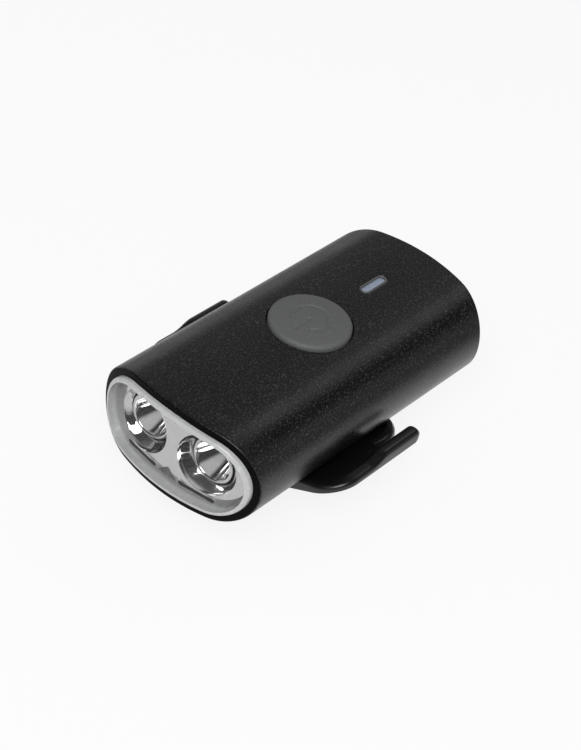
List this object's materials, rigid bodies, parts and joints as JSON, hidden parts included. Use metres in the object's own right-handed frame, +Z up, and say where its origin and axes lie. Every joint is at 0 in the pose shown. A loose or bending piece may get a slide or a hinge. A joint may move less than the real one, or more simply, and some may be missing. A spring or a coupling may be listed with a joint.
{
  "type": "bike headlight",
  "caption": "Handlebar bike headlight: oval tube body, twin-bowl lens, top push button, rear charging port, saddle with strap hooks.",
  "frame": {"origin": "centre of the footprint, on the plane of the saddle's feet", "axes": "+X across the light, +Y from the front lens to the rear port, +Z up"},
  "size_m": [0.0582, 0.086, 0.0367],
  "materials": {
    "shell": "bead-blasted black anodised",
    "lens": "clear moulded",
    "seal": "soft moulded",
    "reflector": "bright metallised",
    "led_board": "white solder mask",
    "emitter": "phosphor",
    "dome": "clear silicone",
    "steel": "plated",
    "bare_aluminium": "machined",
    "lead": "insulated wire",
    "inner_plastic": "moulded",
    "cell": "foil pouch",
    "foam": "foam",
    "tab": "nickel strip",
    "board": "solder mask",
    "chip": "moulded",
    "plunger": "moulded",
    "window": "milky light guide",
    "button": "satin moulded",
    "cap": "satin moulded",
    "cover": "soft moulded",
    "bracket": "satin moulded",
    "pad": "soft moulded"
  },
  "bodies": {
    "light": {"body_shell": "shell", "front_lens": "lens", "lens_seal": "seal", "reflector": "reflector", "led_board": "led_board", "led_packages": "emitter", "led_domes": "dome", "led_board_screws": "steel", "heat_spreader": "bare_aluminium", "spreader_screws": "steel", "led_leads": "lead", "chassis": "inner_plastic", "battery_cell": "cell", "cell_pad": "foam", "cell_tabs": "tab", "control_board": "board", "board_screws": "steel", "driver_chip": "chip", "inductor": "chip", "switch_body": "inner_plastic", "indicator_led": "emitter", "indicator_window": "window", "button_retainer": "inner_plastic", "usb_shell": "steel", "usb_tongue": "inner_plastic", "rear_cap": "cap", "rear_seal": "seal", "rear_screws": "steel", "cover_root": "cover", "mount_bracket": "bracket", "saddle_pad": "pad", "bracket_screws": "steel"},
    "button": {"button_cap": "button", "switch_plunger": "plunger"},
    "cover": {"port_cover": "cover"}
  },
  "joints": [
    {"name": "button_press", "type": "slide", "parent": "light", "child": "button", "axis": [0, 0, -1], "range_m": [0, 0.0005], "stiffness_N_per_m": 2000},
    {"name": "cover_hinge", "type": "hinge", "parent": "light", "child": "cover", "pos_m": [0, 0.0423, 0.02278], "axis": [-1, 0, 0], "range_deg": [0, 165], "stiffness_Nm_per_rad": 0.002}
  ]
}
